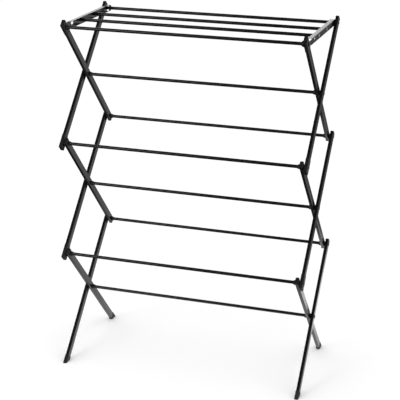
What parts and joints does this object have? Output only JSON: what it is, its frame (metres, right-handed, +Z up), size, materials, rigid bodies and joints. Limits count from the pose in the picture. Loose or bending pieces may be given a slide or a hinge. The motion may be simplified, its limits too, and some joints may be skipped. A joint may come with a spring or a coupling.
{
  "type": "folding clothes drying rack",
  "caption": "Free-standing scissor-leg folding drying rack with hanging rods between its leg frames and a hinged rod shelf on top.",
  "frame": {"origin": "on the floor, under the middle of the open rack", "axes": "+X along the rods to the rack's right-hand side seen from the front, the front faces -Y, +Z up"},
  "size_m": [0.7332, 0.383, 1.0484],
  "materials": {
    "leg_tube": "satin black powder coat",
    "rod_tube": "semi-gloss black powder coat",
    "shelf_rail": "satin black powder coat on bent sheet",
    "rivet": "blackened steel",
    "bright_rivet": "bright zinc plated steel",
    "plastic_fitting": "moulded black plastic",
    "foot": "moulded black plastic"
  },
  "bodies": {
    "lower_centre_rod": {"lower_centre_rod": "rod_tube", "lower_centre_rivets": "rivet", "lower_centre_collars": "plastic_fitting", "lower_centre_spacers": "plastic_fitting"},
    "inner_lower_frame": {"inner_lower_leg_left": "leg_tube", "inner_lower_leg_right": "leg_tube", "lower_front_rod": "rod_tube", "inner_lower_rivets": "rivet", "inner_lower_collars": "plastic_fitting", "inner_lower_spacers": "plastic_fitting", "inner_lower_end_caps": "plastic_fitting", "rear_feet": "foot"},
    "outer_lower_frame": {"outer_lower_leg_left": "leg_tube", "outer_lower_leg_right": "leg_tube", "outer_lower_end_caps": "plastic_fitting", "front_feet": "foot"},
    "outer_middle_frame": {"outer_middle_leg_left": "leg_tube", "outer_middle_leg_right": "leg_tube", "outer_middle_end_caps": "plastic_fitting", "outer_middle_end_sleeves": "plastic_fitting"},
    "inner_middle_frame": {"inner_middle_leg_left": "leg_tube", "inner_middle_leg_right": "leg_tube", "middle_front_rod": "rod_tube", "middle_centre_rod": "rod_tube", "middle_back_rod": "rod_tube", "inner_middle_rivets": "rivet", "inner_middle_collars": "plastic_fitting", "inner_middle_spacers": "plastic_fitting", "inner_middle_end_caps": "plastic_fitting"},
    "outer_upper_frame": {"outer_upper_leg_left": "leg_tube", "outer_upper_leg_right": "leg_tube", "outer_upper_end_caps": "plastic_fitting", "outer_upper_end_sleeves": "plastic_fitting"},
    "inner_upper_frame": {"inner_upper_leg_left": "leg_tube", "inner_upper_leg_right": "leg_tube", "top_front_rod": "rod_tube", "upper_centre_rod": "rod_tube", "upper_back_rod": "rod_tube", "inner_upper_rivets": "rivet", "inner_upper_collars": "plastic_fitting", "inner_upper_spacers": "plastic_fitting", "top_front_sleeves": "plastic_fitting", "inner_upper_end_caps": "plastic_fitting"},
    "top_back_rod": {"top_back_rod": "rod_tube", "top_back_rivets": "rivet", "top_back_collars": "plastic_fitting"},
    "shelf": {"shelf_rail_left": "shelf_rail", "shelf_rail_right": "shelf_rail", "shelf_front_rod": "rod_tube", "shelf_back_rod": "rod_tube", "shelf_rivets": "bright_rivet"}
  },
  "joints": [
    {"name": "rack_fold", "type": "hinge", "parent": "lower_centre_rod", "child": "inner_lower_frame", "pos_m": [0, 0, 0.1795], "axis": [1, 0, 0], "range_deg": [0, 42.5]},
    {"name": "lower_cross", "type": "hinge", "parent": "lower_centre_rod", "child": "outer_lower_frame", "pos_m": [0, 0, 0.1795], "axis": [1, 0, 0], "range_deg": [-42.5, 0]},
    {"name": "lower_front_pivot", "type": "hinge", "parent": "inner_lower_frame", "child": "outer_middle_frame", "pos_m": [0, -0.166, 0.34901], "axis": [1, 0, 0], "range_deg": [-85, 0]},
    {"name": "middle_cross", "type": "hinge", "parent": "outer_middle_frame", "child": "inner_middle_frame", "pos_m": [0, 0, 0.51851], "axis": [1, 0, 0], "range_deg": [0, 85]},
    {"name": "middle_front_pivot", "type": "hinge", "parent": "inner_middle_frame", "child": "outer_upper_frame", "pos_m": [0, -0.166, 0.68802], "axis": [1, 0, 0], "range_deg": [-85, 0]},
    {"name": "upper_cross", "type": "hinge", "parent": "outer_upper_frame", "child": "inner_upper_frame", "pos_m": [0, 0, 0.85752], "axis": [1, 0, 0], "range_deg": [0, 85]},
    {"name": "top_back_pivot", "type": "hinge", "parent": "outer_upper_frame", "child": "top_back_rod", "pos_m": [0, 0.166, 1.02702], "axis": [1, 0, 0], "range_deg": [0, 42.5]},
    {"name": "shelf_lift", "type": "hinge", "parent": "top_back_rod", "child": "shelf", "pos_m": [0, 0.166, 1.02702], "axis": [-1, 0, 0], "range_deg": [0, 95]}
  ],
  "couplings": [
    {"joint": "lower_cross", "follows": "rack_fold", "ratio": -1},
    {"joint": "lower_front_pivot", "follows": "rack_fold", "ratio": -2},
    {"joint": "middle_cross", "follows": "rack_fold", "ratio": 2},
    {"joint": "middle_front_pivot", "follows": "rack_fold", "ratio": -2},
    {"joint": "upper_cross", "follows": "rack_fold", "ratio": 2},
    {"joint": "top_back_pivot", "follows": "rack_fold", "ratio": 0.9059}
  ]
}
